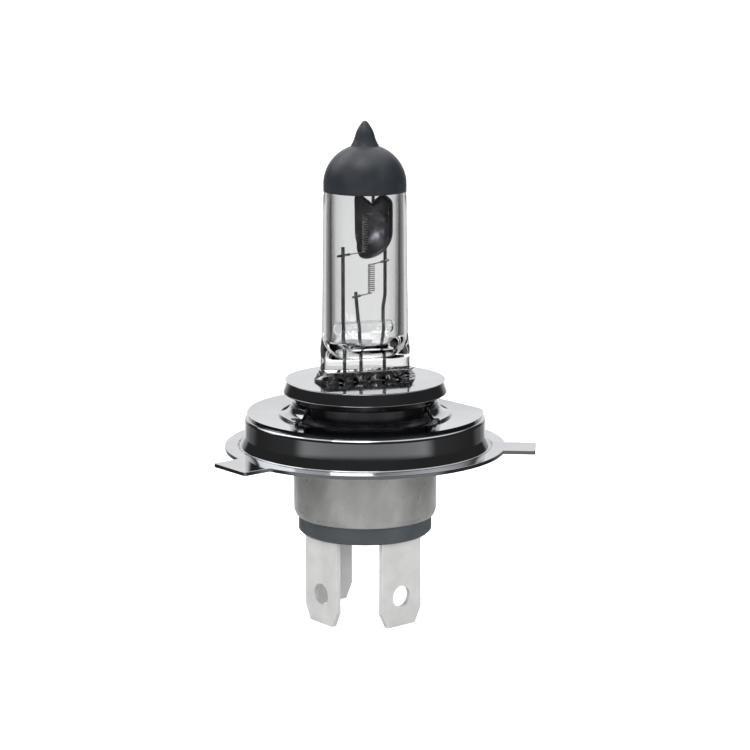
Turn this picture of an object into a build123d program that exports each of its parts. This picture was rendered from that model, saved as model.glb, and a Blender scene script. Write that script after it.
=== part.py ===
"""Twin-filament halogen headlight bulb with a three-lug focus ring and three blade terminals.

Millimetres. +Z points to the glass tip, the lamp axis is Z, and z = 0 is the glass-side face of the
focus ring's brim, which is the plane that the lamp seats on. The wide reference lug points to -Y.
Run in any folder: it writes one STEP file per sub-part to parts/.
"""
import os
from math import acos, cos, hypot, radians, sin

from build123d import *

os.makedirs("parts", exist_ok=True)

# ---------------------------------------------------------------- driving dimensions
# focus ring: one pressed sheet, a round hat standing on a flat brim with three lugs
SHEET = 0.6
BRIM_RADIUS = 21.5
HAT_RADIUS = 19.0
HAT_TOP = 5.1
HAT_ROUNDING = 0.95
BRIM_CORNER = 0.5
HAT_FLAT = 15.8            # distance from the axis to the straight side of the hat, toward +Y
HAT_HOLE_RADIUS = 12.9
REFERENCE_LUG = dict(angle=270, width=7.8, reach=25.7)
NARROW_LUGS = [dict(angle=45, width=6.0, reach=26.1), dict(angle=135, width=6.0, reach=26.1)]
LUG_CORNER = 0.4
LUG_ROOT = 20.0             # where a lug starts, inside the brim
TONGUE_ANGLES = (38, 142, 250)
TONGUE_SPAN = 38           # degrees of the circumference
TONGUE_SHEET = 0.45
TONGUE_TOP = 6.8
TONGUE_GAP = 0.02
TONGUE_ROOT = 0.3           # how far a tongue runs into the hat's sheet

# base sleeve: steel tube through the hat, drawn slightly in at the neck and rolled in at its lower end
SLEEVE_RADIUS = 10.97
NECK_RADIUS = 10.8
NECK_BOTTOM = 4.3
SLEEVE_WALL = 0.45
SLEEVE_TOP = 7.0
SLEEVE_BOTTOM = -10.9
SLEEVE_LIP_RADIUS = 10.28
SLEEVE_LIP_ROUNDING = 0.65
SLEEVE_BORE = SLEEVE_RADIUS - SLEEVE_WALL

# burner disc: polished lid with a beaded rim and a skirt that plugs into the sleeve
DISC_RADIUS = 12.5
DISC_TOP = 10.1
DISC_RIM = 1.8
DISC_ROUNDING = 0.45
DISC_SHEET = 0.5
SKIRT_BOTTOM = 3.6
PRESS_GAP = 0.02            # between the skirt or the insulator's plug and the sleeve
SKIRT_CORNER = 0.55         # height of the solid ring where the skirt meets the cone
SLOT_ROOM = (0.5, 0.4)      # how much wider and deeper the slot is than the pinch
SLOT_CORNER = 0.6

# insulator
INSULATOR_RADIUS = 10.24
INSULATOR_TOP = -7.4
INSULATOR_BOTTOM = -13.55
INSULATOR_CHAMFER = 0.35
RECESS_RADIUS = 4.6
RECESS_DEPTH = 1.2

# blade terminals, standing round the axis on +X, -X and -Y
BLADE_WIDTH = 7.7
BLADE_THICKNESS = 0.8
BLADE_OFFSET = 8.35
BLADE_TIP = -27.0
BLADE_HOLE_RADIUS = 1.65
BLADE_HOLE_ABOVE_TIP = 4.6
BLADE_CORNER = (1.15, 2.4)  # across, along
BLADE_ROOT = -6.6           # where the full width ends, inside the sleeve
TAIL_WIDTH = 2.6
TAIL_TOP = -2.6

# burner: everything between the pinch and the tip is turned about the axis as one
BURNER_TURN = 66            # degrees from +X to the plane that holds the three leads
GLASS_RADIUS = 6.58
GLASS_TOP_RADIUS = 6.26
CAVITY_RADIUS = 5.08
PINCH_WIDTH = 13.6
PINCH_THICKNESS = 3.5
PINCH_BOTTOM = 3.9
PINCH_TOP = 13.0
FLARE_TOP = 17.4
CAVITY_FLOOR = 14.0
CAVITY_FOOT = 0.9           # thickness of the cavity where it ends above the pinch
CAVITY_CORNER = 2.2
PINCH_CORNER = 0.8
SHOULDER = 39.8             # where the straight tube ends and the dome begins
DOME_RISE = 6.0             # the dome is a flattened half ball, as if it had no tip
CAVITY_DOME_TOP = 43.7
TIP = 49.25
COAT_EDGE = 38.6
COAT = 0.1
TIP_ROOT_RADIUS = 2.15
TIP_WAIST = [(1.67, 46.4), (1.25, 47.7), (0.7, 48.65)]  # radius and height of points on the tip
TIP_END = 0.25
TIP_SLOPE = (-0.5, 0, 1)
SHOULDER_SLOPE = (0.15, 1)              # of the pressed flare, at both of its ends

# leads, from left to right in the plane of the pinch
LEAD_RADIUS = 0.275
LEAD_BOTTOM = 0.8
DIP_LEAD_X = -3.38
DIP_LEAD_TOP = 30.4
MAIN_LEAD_X = -0.8
MAIN_LEAD_TOP_X = -1.44
MAIN_LEAD_TOP = 23.5
COMMON_LEAD_X = 2.88
COMMON_LEAD_TOP_X = 3.2
COMMON_LEAD_TOP = 30.6
COMMON_KINK = (21.0, 23.0)
LEAD_BEND = 2.0
MAIN_LEAD_BEND = 15.5       # where the main lead starts to lean

# glass bridge that ties the three leads together
BRIDGE_RADIUS = 0.98
BRIDGE_HEIGHT = 18.08
BRIDGE_ENDS = (-4.9, 4.5)
BRIDGE_ROUNDING = 0.45

# filaments
FILAMENT_WIRE = 0.085
DIP_COIL = dict(x=0.0, z=29.65, height=5.6, radius=0.41, turns=15)
MAIN_COIL = dict(x=1.0, z=23.35, height=4.35, radius=0.48, turns=14)
LEG_SLEEVE_RADIUS = 0.19
LEG_SIDE = LEAD_RADIUS + LEG_SLEEVE_RADIUS + 0.005

# where each filament leg is welded, as (across the pinch, height), and how far leg and sleeve run past it
LOWER_DIP = dict(post=(DIP_LEAD_X, 29.2), leg_past=0.9, sleeve=(0.95, 0.95))
UPPER_DIP = dict(post=(3.35, 35.5), leg_past=0.3, sleeve=(1.2, 0.35))
LOWER_MAIN = dict(post=(MAIN_LEAD_TOP_X + 0.03, 22.9), leg_past=0.7, sleeve=(0.6, 0.7))
UPPER_MAIN = dict(post=(COMMON_LEAD_TOP_X, 28.15), leg_past=0.5, sleeve=(0.85, 0.45))

# shield under the dip filament: half of a round-ended cup, open toward the reference lug
SHIELD_RADIUS = 4.2
SHIELD_SHEET = 0.22
SHIELD_BOTTOM = 28.6
SHIELD_TOP = 37.9
SHIELD_EDGE = 1.6           # distance of the straight edges from the axis, toward +Y
SHIELD_LIP = 0.0            # where the round end starts, likewise
SHIELD_NOTCH = (1.3, 1.5)   # half width, depth
NOTCH_ANGLE = 122           # where the notch and the strap stand round the axis
SHIELD_CORNER = [(0.5, 0.5), (1.9, 1.4)]  # height above the bottom, and distance from the axis
SHIELD_TAPER = (1.2, 1.1)   # height of the drawn-in top, and how far it draws in
STRAP_LAP = 1.4             # how far the strap reaches down the sheet below the notch
STRAP_WIDTH = 0.5
STRAP_TOP = 40.6

# clips on the faces of the pinch
CLIP_LENGTH = 15.8
CLIP_HEIGHT = 1.45
CLIP_SHEET = 0.35
CLIP_FOOT = 1.4
CLIP_WINDOW = 0.8
CLIP_WINDOWS = 5
CLIP_EAR = 1.3              # length of the tapered ear at each end
CLIP_EAR_TIP = 0.3

# wires from the leads to the terminals
TAIL_WIRE_RADIUS = 0.35
TAIL_WIRE_TOP = 2.9
TAIL_WIRE_TURN = (-0.4, -2.2)
TAIL_WIRE_END = -5.4
TAIL_WIRE_BEND = 0.8
WELD_GAP = 0.01

BOTTOM_UP = (Align.CENTER, Align.CENTER, Align.MIN)


# ---------------------------------------------------------------- helpers
def drum(radius, low, high):
    """A cylinder on the lamp axis between two heights."""
    return Pos(0, 0, low) * Cylinder(radius, high - low, align=BOTTOM_UP)


def rod(start, end, radius):
    """A straight round bar between two points."""
    start, end = Vector(*start), Vector(*end)
    run = end - start
    return Plane(origin=start, z_dir=run) * Cylinder(radius, run.length, align=BOTTOM_UP)


def wire(points, radius, bend):
    """A round wire along straight runs that are joined by arcs."""
    path = FilletPolyline(*points, radius=bend)
    section = Plane(origin=path @ 0, z_dir=path % 0) * Circle(radius)
    return sweep(section, path)


def turned(profile):
    """Revolve a closed chain of edges, drawn in the XZ plane, about the lamp axis."""
    return revolve(make_face(profile), Axis.Z)


def quarter(centre, radius):
    """The arc from straight below a centre in the XZ plane to the side of it that faces the axis."""
    x, y, z = centre
    slant = radius * cos(radians(45))
    return ThreePointArc((x, y, z - radius), (x - slant, y, z - slant), (x - radius, y, z))


def burner(shape):
    """Turn a piece that was drawn in the pinch's own plane to its place in the lamp."""
    return Rot(0, 0, BURNER_TURN) * shape


def save(shape, name):
    export_step(shape, f"parts/{name}.step")


# ---------------------------------------------------------------- focus ring
def hat_body(radius, top, flat, rounding, bottom):
    """A round block with one straight side and a rounded top edge."""
    block = drum(radius, bottom, top)
    block -= Pos(0, flat + radius, 0) * Box(4 * radius, 2 * radius, 8 * HAT_TOP)
    return fillet(block.edges().group_by(Axis.Z)[-1], rounding)


def lug(angle, width, reach):
    middle = (LUG_ROOT + reach) / 2
    plate = Pos(middle, 0, -SHEET / 2) * Box(reach - LUG_ROOT, width, SHEET)
    outer_corners = plate.edges().filter_by(Axis.Z).group_by(Axis.X)[-1]
    return Rot(0, 0, angle) * fillet(outer_corners, LUG_CORNER)


def tongue(angle):
    """A tab bent up from the edge of the hat's hole until it lies on the neck."""
    inside = NECK_RADIUS + TONGUE_GAP
    outside = inside + TONGUE_SHEET
    low = HAT_TOP - SHEET
    root = HAT_HOLE_RADIUS + TONGUE_ROOT
    bend = HAT_HOLE_RADIUS - outside
    lower_bend = bend + TONGUE_SHEET
    profile = Polyline((root, 0, HAT_TOP), (root, 0, low), (HAT_HOLE_RADIUS, 0, low))
    profile += quarter((HAT_HOLE_RADIUS, 0, low + lower_bend), lower_bend)
    profile += Polyline((inside, 0, low + lower_bend), (inside, 0, TONGUE_TOP),
                        (outside, 0, TONGUE_TOP), (outside, 0, HAT_TOP + bend))
    profile += quarter((HAT_HOLE_RADIUS, 0, HAT_TOP + bend), bend)
    profile += Line((HAT_HOLE_RADIUS, 0, HAT_TOP), (root, 0, HAT_TOP))
    piece = revolve(make_face(profile), Axis.Z, TONGUE_SPAN)
    return Rot(0, 0, angle - TONGUE_SPAN / 2) * piece


def focus_ring():
    hat = hat_body(HAT_RADIUS, HAT_TOP, HAT_FLAT, HAT_ROUNDING, -SHEET)
    brim = drum(BRIM_RADIUS, -SHEET, 0)
    ring = hat + brim
    foot = ring.edges().filter_by_position(Axis.Z, -0.01, 0.01)
    foot = foot.filter_by(lambda edge: edge.bounding_box().max.Y < HAT_RADIUS + 0.01)
    foot = foot.filter_by(lambda edge: edge.bounding_box().size.X < 2 * BRIM_RADIUS - 0.1)
    ring = fillet(foot, BRIM_CORNER)
    for one in [REFERENCE_LUG] + NARROW_LUGS:
        ring += lug(**one)
    ring -= hat_body(HAT_RADIUS - SHEET, HAT_TOP - SHEET, HAT_FLAT - SHEET,
                     HAT_ROUNDING - SHEET / 2, -2 * SHEET)
    ring -= drum(HAT_HOLE_RADIUS, 0, 2 * HAT_TOP)
    for angle in TONGUE_ANGLES:
        ring += tongue(angle)
    return ring


# ---------------------------------------------------------------- sleeve, disc and insulator
def base_sleeve():
    tube = drum(SLEEVE_RADIUS, SLEEVE_BOTTOM, NECK_BOTTOM)
    tube = fillet(tube.edges().group_by(Axis.Z)[0], SLEEVE_LIP_ROUNDING)
    tube += drum(NECK_RADIUS, NECK_BOTTOM, SLEEVE_TOP)
    tube -= drum(SLEEVE_BORE, SLEEVE_BOTTOM + SLEEVE_WALL, SLEEVE_TOP)
    return tube - drum(SLEEVE_LIP_RADIUS, SLEEVE_BOTTOM - 1, SLEEVE_TOP)


def burner_disc():
    skirt = SLEEVE_BORE - PRESS_GAP
    rim_low = DISC_TOP - DISC_RIM
    cone_low = SLEEVE_TOP + PRESS_GAP
    outline = Polyline((0, 0, DISC_TOP), (DISC_RADIUS, 0, DISC_TOP), (DISC_RADIUS, 0, rim_low),
                       (NECK_RADIUS, 0, cone_low), (skirt, 0, cone_low),
                       (skirt, 0, SKIRT_BOTTOM), (0, 0, SKIRT_BOTTOM), (0, 0, DISC_TOP))
    lid = turned(outline)
    lid = fillet(lid.edges().filter_by(GeomType.CIRCLE).group_by(Axis.Z)[-1], DISC_ROUNDING)
    inside = skirt - DISC_SHEET
    under_lid = DISC_RADIUS - DISC_SHEET
    corner = SLEEVE_TOP + SKIRT_CORNER
    hollow = drum(inside, SKIRT_BOTTOM - 1, corner)
    hollow += drum(under_lid, rim_low, DISC_TOP - DISC_SHEET)
    hollow += turned(Polyline((0, 0, corner), (inside, 0, corner), (under_lid, 0, rim_low),
                              (0, 0, rim_low), (0, 0, corner)))
    across, deep = SLOT_ROOM
    slot = RectangleRounded(PINCH_WIDTH + across, PINCH_THICKNESS + deep, SLOT_CORNER)
    lid -= hollow
    return lid - burner(Pos(0, 0, SKIRT_BOTTOM) * extrude(slot, DISC_TOP))


def insulator(blades):
    body = drum(INSULATOR_RADIUS, INSULATOR_BOTTOM, INSULATOR_TOP)
    body = chamfer(body.edges().group_by(Axis.Z)[0], INSULATOR_CHAMFER)
    body += drum(SLEEVE_BORE - PRESS_GAP, SLEEVE_BOTTOM + SLEEVE_WALL + PRESS_GAP, INSULATOR_TOP)
    body -= drum(RECESS_RADIUS, INSULATOR_BOTTOM - 1, INSULATOR_BOTTOM + RECESS_DEPTH)
    for blade in blades:
        body -= blade
    return body


# ---------------------------------------------------------------- terminals and their wires
def terminal(angle):
    """A flat blade that faces outward, with a cropped tip, a hole and a narrow tail."""
    half = BLADE_WIDTH / 2
    across, along = BLADE_CORNER
    outline = Polyline((-half + across, BLADE_TIP), (-half, BLADE_TIP + along), (-half, BLADE_ROOT),
                       (-TAIL_WIDTH / 2, BLADE_ROOT), (-TAIL_WIDTH / 2, TAIL_TOP),
                       (TAIL_WIDTH / 2, TAIL_TOP), (TAIL_WIDTH / 2, BLADE_ROOT),
                       (half, BLADE_ROOT), (half, BLADE_TIP + along), (half - across, BLADE_TIP),
                       (-half + across, BLADE_TIP))
    face = make_face(outline)
    face -= Pos(0, BLADE_TIP + BLADE_HOLE_ABOVE_TIP) * Circle(BLADE_HOLE_RADIUS)
    upright = Plane(origin=(BLADE_OFFSET, 0, 0), x_dir=(0, 1, 0), z_dir=(1, 0, 0))
    return Rot(0, 0, angle) * extrude(upright * face, BLADE_THICKNESS / 2, both=True)


def tail_wire(lead_x, angle):
    """The wire that is welded to a lead's lower end and to the inner face of a blade's tail."""
    start = burner(Pos(lead_x, -(LEAD_RADIUS + TAIL_WIRE_RADIUS + WELD_GAP), 0)).position
    reach = BLADE_OFFSET - BLADE_THICKNESS / 2 - TAIL_WIRE_RADIUS - WELD_GAP
    end_x, end_y = reach * cos(radians(angle)), reach * sin(radians(angle))
    high, low = TAIL_WIRE_TURN
    return wire([(start.X, start.Y, TAIL_WIRE_TOP), (start.X, start.Y, high), (end_x, end_y, low),
                 (end_x, end_y, TAIL_WIRE_END)], TAIL_WIRE_RADIUS, TAIL_WIRE_BEND)


# ---------------------------------------------------------------- glass and its black top
def dome(grow):
    """The closed end and its drawn-off tip, from the coat's edge up, grown outward by a small amount."""
    radius = GLASS_TOP_RADIUS - COAT + grow
    lift = grow - COAT
    rise = DOME_RISE + lift
    start = (radius, 0, SHOULDER)
    reach = acos((TIP_ROOT_RADIUS + lift) / radius)
    flank = (radius * cos(reach / 2), 0, SHOULDER + rise * sin(reach / 2))
    root = (TIP_ROOT_RADIUS + lift, 0, SHOULDER + rise * sin(reach))
    root_slope = (-radius * sin(reach), 0, rise * cos(reach))
    waist = [(r + lift, 0, z) for r, z in TIP_WAIST]
    tip = (TIP_END, 0, TIP + lift)
    profile = Polyline((0, 0, COAT_EDGE), (radius, 0, COAT_EDGE), start)
    profile += Spline(start, flank, root, tangents=[(0, 0, 1), root_slope])
    profile += Spline(root, *waist, tip, tangents=[TIP_SLOPE, TIP_SLOPE])
    profile += Polyline(tip, (0, 0, TIP + lift), (0, 0, COAT_EDGE))
    return turned(profile)


def pressed(low, high, width, thickness, radius, corner):
    """The part of a round tube that narrows to a flat: a drum between two S-shaped shoulders."""
    side_view = Plane(origin=(0, 0, 0), x_dir=(0, 1, 0), z_dir=(1, 0, 0))
    out, up = SHOULDER_SLOPE
    outline = Spline((thickness / 2, low), (radius, high), tangents=[(out, up), (out, up)])
    outline += Line((radius, high), (-radius, high))
    outline += Spline((-radius, high), (-thickness / 2, low), tangents=[(out, -up), (out, -up)])
    outline += Line((-thickness / 2, low), (thickness / 2, low))
    wedge = extrude(side_view * make_face(outline), radius, both=True)
    front_view = Plane(origin=(0, 0, (low + high) / 2), x_dir=(1, 0, 0), z_dir=(0, -1, 0))
    front = front_view * Rectangle(width, high - low)
    block = extrude(front, radius, both=True)
    if corner:
        low_edges = block.edges().filter_by(Axis.Y).group_by(Axis.Z)[0]
        block = fillet(low_edges, corner)
    return drum(radius, low, high) & wedge & block


def glass_envelope(leads):
    tube = loft([Pos(0, 0, FLARE_TOP) * Circle(GLASS_RADIUS),
                 Pos(0, 0, COAT_EDGE) * Circle(GLASS_TOP_RADIUS)])
    flare = pressed(PINCH_TOP, FLARE_TOP, 2 * GLASS_RADIUS, PINCH_THICKNESS, GLASS_RADIUS, 0)
    flat = RectangleRounded(PINCH_WIDTH, PINCH_THICKNESS, PINCH_CORNER)
    pinch = Pos(0, 0, PINCH_BOTTOM) * extrude(flat, PINCH_TOP - PINCH_BOTTOM)
    body = tube + flare + pinch + dome(0)
    cavity = drum(CAVITY_RADIUS, FLARE_TOP, SHOULDER)
    cavity += pressed(CAVITY_FLOOR, FLARE_TOP, 2 * CAVITY_RADIUS, CAVITY_FOOT, CAVITY_RADIUS, CAVITY_CORNER)
    rise = CAVITY_DOME_TOP - SHOULDER
    cavity += Pos(0, 0, SHOULDER) * scale(Sphere(CAVITY_RADIUS), by=(1, 1, rise / CAVITY_RADIUS))
    body -= cavity
    for lead in leads:
        body -= lead
    return body


def black_top_coat():
    return dome(COAT) - dome(0)


# ---------------------------------------------------------------- inside the glass
def dip_lead():
    return rod((DIP_LEAD_X, 0, LEAD_BOTTOM), (DIP_LEAD_X, 0, DIP_LEAD_TOP), LEAD_RADIUS)


def main_lead():
    return wire([(MAIN_LEAD_X, 0, LEAD_BOTTOM), (MAIN_LEAD_X, 0, MAIN_LEAD_BEND),
                 (MAIN_LEAD_TOP_X, 0, MAIN_LEAD_TOP)], LEAD_RADIUS, LEAD_BEND)


def common_lead(shield_block):
    low, high = COMMON_KINK
    full = wire([(COMMON_LEAD_X, 0, LEAD_BOTTOM), (COMMON_LEAD_X, 0, low),
                 (COMMON_LEAD_TOP_X, 0, high), (COMMON_LEAD_TOP_X, 0, COMMON_LEAD_TOP)],
                LEAD_RADIUS, LEAD_BEND)
    return burner(full) - shield_block


def glass_bridge(leads):
    left, right = BRIDGE_ENDS
    bar = rod((left, 0, BRIDGE_HEIGHT), (right, 0, BRIDGE_HEIGHT), BRIDGE_RADIUS)
    bar = burner(fillet(bar.edges().filter_by(GeomType.CIRCLE), BRIDGE_ROUNDING))
    for lead in leads:
        bar -= lead
    return bar


def shield_block(shrink):
    """The solid cup that the shield wraps: a tube with a round lower end and a drawn-in top."""
    radius = SHIELD_RADIUS - shrink
    low = SHIELD_BOTTOM + SHIELD_RADIUS
    rise, draw = SHIELD_TAPER
    taper = SHIELD_TOP - rise
    block = drum(radius, low, taper)
    block += Pos(0, 0, low) * Sphere(radius)
    block += Pos(0, 0, taper) * Cone(radius, radius - draw, rise + shrink, align=BOTTOM_UP)
    return block


def dip_shield():
    sheet = shield_block(0) - shield_block(SHIELD_SHEET)
    turn = SHIELD_BOTTOM + SHIELD_RADIUS
    below = SHIELD_BOTTOM - 1
    above = SHIELD_TOP + 1
    beyond = 2 * SHIELD_RADIUS
    corner = [(y, SHIELD_BOTTOM + rise) for rise, y in SHIELD_CORNER]
    keep = Polyline((SHIELD_LIP, below), *corner, (SHIELD_EDGE, turn), (SHIELD_EDGE, above),
                    (beyond, above), (beyond, below), (SHIELD_LIP, below))
    side_view = Plane(origin=(0, 0, 0), x_dir=(0, 1, 0), z_dir=(1, 0, 0))
    cup = sheet & extrude(side_view * make_face(keep), beyond, both=True)
    half, depth = SHIELD_NOTCH
    notch = Polyline((-half, SHIELD_TOP), (0, SHIELD_TOP - depth), (half, SHIELD_TOP),
                     (half, above), (-half, above), (-half, SHIELD_TOP))
    back_view = Plane(origin=(0, 0, 0), x_dir=(1, 0, 0), z_dir=(0, -1, 0))
    aside = Rot(0, 0, NOTCH_ANGLE - 90)
    cup -= aside * extrude(back_view * make_face(notch), -beyond)
    strap_low = SHIELD_TOP - depth - STRAP_LAP
    strap = Box(STRAP_WIDTH, SHIELD_SHEET, STRAP_TOP - strap_low, align=BOTTOM_UP)
    return cup + aside * Pos(0, SHIELD_RADIUS - SHIELD_SHEET / 2, strap_low) * strap


def coil(x, z, height, radius, turns):
    """A coil of half turns, each tilted so that the wire runs on smoothly into the next one."""
    rise = height / turns / 2
    bulge = hypot(radius, rise / 2)
    halves = []
    for number in range(2 * turns):
        side = 1 if number % 2 else -1
        low = number * rise
        halves.append(ThreePointArc((0, side * radius, low), (-side * bulge, 0, low + rise / 2),
                                    (0, -side * radius, low + rise)))
    path = Wire(halves)
    section = Plane(origin=path @ 0, z_dir=path % 0) * Circle(FILAMENT_WIRE)
    return Pos(x, 0, z) * sweep(section, path)


def leg_line(shape, top, post):
    """Where a filament leg starts on the coil, where it passes its post, and the way it runs."""
    height = shape["height"] if top else 0
    start = Vector(shape["x"], -shape["radius"], shape["z"] + height)
    post_x, post_z = post
    middle = Vector(post_x, -LEG_SIDE, post_z)
    return start, middle, (middle - start).normalized()


def filament(shape, lower, upper):
    body = coil(**shape)
    for top, weld in enumerate((lower, upper)):
        start, middle, along = leg_line(shape, top, weld["post"])
        end = middle + along * weld["leg_past"]
        body += rod(tuple(start), tuple(end), FILAMENT_WIRE)
        body += Pos(start) * Sphere(FILAMENT_WIRE)
    return burner(body)


def leg_sleeve(shape, top, weld):
    """The small tube that is crimped on a filament leg and welded to a post."""
    middle, along = leg_line(shape, top, weld["post"])[1:]
    before, after = weld["sleeve"]
    ends = tuple(middle - along * before), tuple(middle + along * after)
    return burner(rod(*ends, LEG_SLEEVE_RADIUS) - rod(*ends, FILAMENT_WIRE))


def pinch_clip(side):
    """A spring strip with square windows and tapered ears, standing on the disc against the pinch."""
    y = side * (PINCH_THICKNESS / 2 + WELD_GAP + CLIP_SHEET / 2)
    low = DISC_TOP + WELD_GAP
    high = low + CLIP_HEIGHT
    half = CLIP_LENGTH / 2
    outline = Polyline((-half, low), (half, low), (half, low + CLIP_EAR_TIP), (half - CLIP_EAR, high),
                       (CLIP_EAR - half, high), (-half, low + CLIP_EAR_TIP), (-half, low))
    front_view = Plane(origin=(0, y, 0), x_dir=(1, 0, 0), z_dir=(0, -1, 0))
    plate = extrude(front_view * make_face(outline), CLIP_SHEET / 2, both=True)
    foot_y = y + side * (CLIP_FOOT - CLIP_SHEET) / 2
    foot_length = CLIP_LENGTH - 2 * CLIP_EAR
    plate += Pos(0, foot_y, low) * Box(foot_length, CLIP_FOOT, CLIP_SHEET, align=BOTTOM_UP)
    gap = foot_length / (CLIP_WINDOWS + 1)
    for number in range(CLIP_WINDOWS):
        x = (number + 1) * gap - foot_length / 2
        z = low + (CLIP_HEIGHT + CLIP_SHEET) / 2
        plate -= Pos(x, y, z) * Box(CLIP_WINDOW, 4 * CLIP_SHEET, CLIP_WINDOW)
    return burner(plate)


# ---------------------------------------------------------------- assembly
TERMINALS = {"common": (0, COMMON_LEAD_X), "main": (180, MAIN_LEAD_X), "dip": (270, DIP_LEAD_X)}

leads = {"dip_lead": burner(dip_lead()), "main_lead": burner(main_lead()),
         "common_lead": common_lead(shield_block(0))}
blades = {f"{name}_terminal": terminal(angle) for name, (angle, lead_x) in TERMINALS.items()}
tails = {f"{name}_tail_wire": tail_wire(lead_x, angle)
         for name, (angle, lead_x) in TERMINALS.items()}
unturned_leads = [Rot(0, 0, -BURNER_TURN) * lead for lead in leads.values()]

nodes = {
    "glass_envelope": burner(glass_envelope(unturned_leads)),
    "black_top_coat": black_top_coat(),
    "glass_bridge": glass_bridge(leads.values()),
    "dip_shield": dip_shield(),
    "dip_filament": filament(DIP_COIL, LOWER_DIP, UPPER_DIP),
    "main_filament": filament(MAIN_COIL, LOWER_MAIN, UPPER_MAIN),
    "dip_leg_sleeve": leg_sleeve(DIP_COIL, False, LOWER_DIP),
    "shield_leg_sleeve": leg_sleeve(DIP_COIL, True, UPPER_DIP),
    "main_leg_sleeve": leg_sleeve(MAIN_COIL, False, LOWER_MAIN),
    "common_leg_sleeve": leg_sleeve(MAIN_COIL, True, UPPER_MAIN),
    "pinch_clip_front": pinch_clip(-1),
    "pinch_clip_rear": pinch_clip(1),
    "burner_disc": burner_disc(),
    "base_sleeve": base_sleeve(),
    "focus_ring": focus_ring(),
    "insulator": insulator(blades.values()),
    **leads,
    **blades,
    **tails,
}

for name, shape in nodes.items():
    save(shape, name)
    print(f"{name:20s} {shape.volume:9.2f} mm3")
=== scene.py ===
# %% [markdown]
# # A twin-filament headlight bulb
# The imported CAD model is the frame: it says where every part of the lamp sits and how big it is.
# This lesson dresses that frame. Each cell makes one piece of the lamp with the soft edges, drawn
# wire and poured glass that a plain solid can't show, and gives it the finish of the real part.
# Everything below is written in millimetres and scaled to metres in one place, `MM`.

from math import acos, asin, atan2, cos, hypot, pi, radians, sin, sqrt, tan

import bmesh
import bpy
from mathutils import Matrix, Vector


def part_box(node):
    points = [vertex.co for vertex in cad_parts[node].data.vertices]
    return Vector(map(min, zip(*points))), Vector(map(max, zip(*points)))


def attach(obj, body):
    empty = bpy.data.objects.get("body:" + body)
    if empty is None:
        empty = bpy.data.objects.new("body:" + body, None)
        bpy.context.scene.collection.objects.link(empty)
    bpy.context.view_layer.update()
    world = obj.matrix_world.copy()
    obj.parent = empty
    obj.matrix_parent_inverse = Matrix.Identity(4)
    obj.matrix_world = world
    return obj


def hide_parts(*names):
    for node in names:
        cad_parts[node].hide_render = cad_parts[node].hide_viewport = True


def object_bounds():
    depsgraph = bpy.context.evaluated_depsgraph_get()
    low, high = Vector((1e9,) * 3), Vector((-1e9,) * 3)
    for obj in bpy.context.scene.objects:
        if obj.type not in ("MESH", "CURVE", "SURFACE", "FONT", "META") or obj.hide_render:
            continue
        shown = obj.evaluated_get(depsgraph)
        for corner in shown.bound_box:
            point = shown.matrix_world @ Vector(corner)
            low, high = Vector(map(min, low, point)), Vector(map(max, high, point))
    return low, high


MM = 0.001
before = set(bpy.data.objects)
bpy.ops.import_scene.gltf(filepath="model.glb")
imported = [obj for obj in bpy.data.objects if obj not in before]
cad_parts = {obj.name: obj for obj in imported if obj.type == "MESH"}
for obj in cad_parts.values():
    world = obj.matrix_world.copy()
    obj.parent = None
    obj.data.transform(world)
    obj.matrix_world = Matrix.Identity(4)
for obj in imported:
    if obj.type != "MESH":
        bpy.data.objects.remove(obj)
add_to_scene = bpy.context.scene.collection.objects.link
cad_low, cad_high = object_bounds()
print("frame of", len(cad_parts), "nodes, from", tuple(cad_low), "to", tuple(cad_high))


# %% Read a place from the frame
def extent(node):
    """Lowest and highest corner of a CAD node, in millimetres."""
    low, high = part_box(node)
    return low / MM, high / MM


def heights(node):
    """Where a CAD node begins and ends on the lamp's axis."""
    return extent(node)[0].z, extent(node)[1].z


ground = cad_low.z / MM
print("the blades' tips stand at", round(ground, 2), "mm")

# %% [markdown]
# ## The camera
# A small lamp is shot with a long lens from a little above, so that the round edges stay
# nearly flat ellipses and the mirror-bright ring shows its top. The camera stands about a third of
# a metre from the lamp's axis, between the blade on +X and the reference lug on -Y. It is stepped
# slightly aside, so the axis is a hair left of the middle, and there is no lens shift or blur.

# %% Camera
VIEW_TURN = radians(50.5)
CAMERA_BACK = 325.6
CAMERA_UP = 73.8
CAMERA_ASIDE = 1.51
CAMERA_TILT = radians(10.98)
LENS = 104.5

toward_camera = Vector((sin(VIEW_TURN), -cos(VIEW_TURN), 0))
camera_right = Vector((cos(VIEW_TURN), sin(VIEW_TURN), 0))
camera = bpy.data.objects.new("camera", bpy.data.cameras.new("camera"))
camera.data.lens = LENS
camera.data.sensor_width = 36
camera.data.clip_start = 0.01
stand = toward_camera * CAMERA_BACK + camera_right * CAMERA_ASIDE + Vector((0, 0, CAMERA_UP))
camera.location = stand * MM
camera.rotation_euler = (pi / 2 - CAMERA_TILT, 0, VIEW_TURN)
add_to_scene(camera)
bpy.context.scene.camera = camera
print("camera at", tuple(round(c, 4) for c in camera.location))

# %% [markdown]
# ## The studio
# Polished steel and clear glass have hardly any look of their own: what shows is the room. The room
# for this lamp is a white wall behind it and a soft white ceiling that leans down toward that wall,
# with dark flags at both sides and a dim grey table in front. The flags draw the dark edges of the
# glass and the dark wall of the ring, and the white wall fills the ring's top and the inside of the
# bulb. A world shader that depends only on direction holds the whole room. The pale floor is there
# for the camera and for shadows, but mirrors and glass look past it into that room. Soft boxes fill
# the matt parts, and two of them are mirrored, so that the black dome gets its soft glints.


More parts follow.
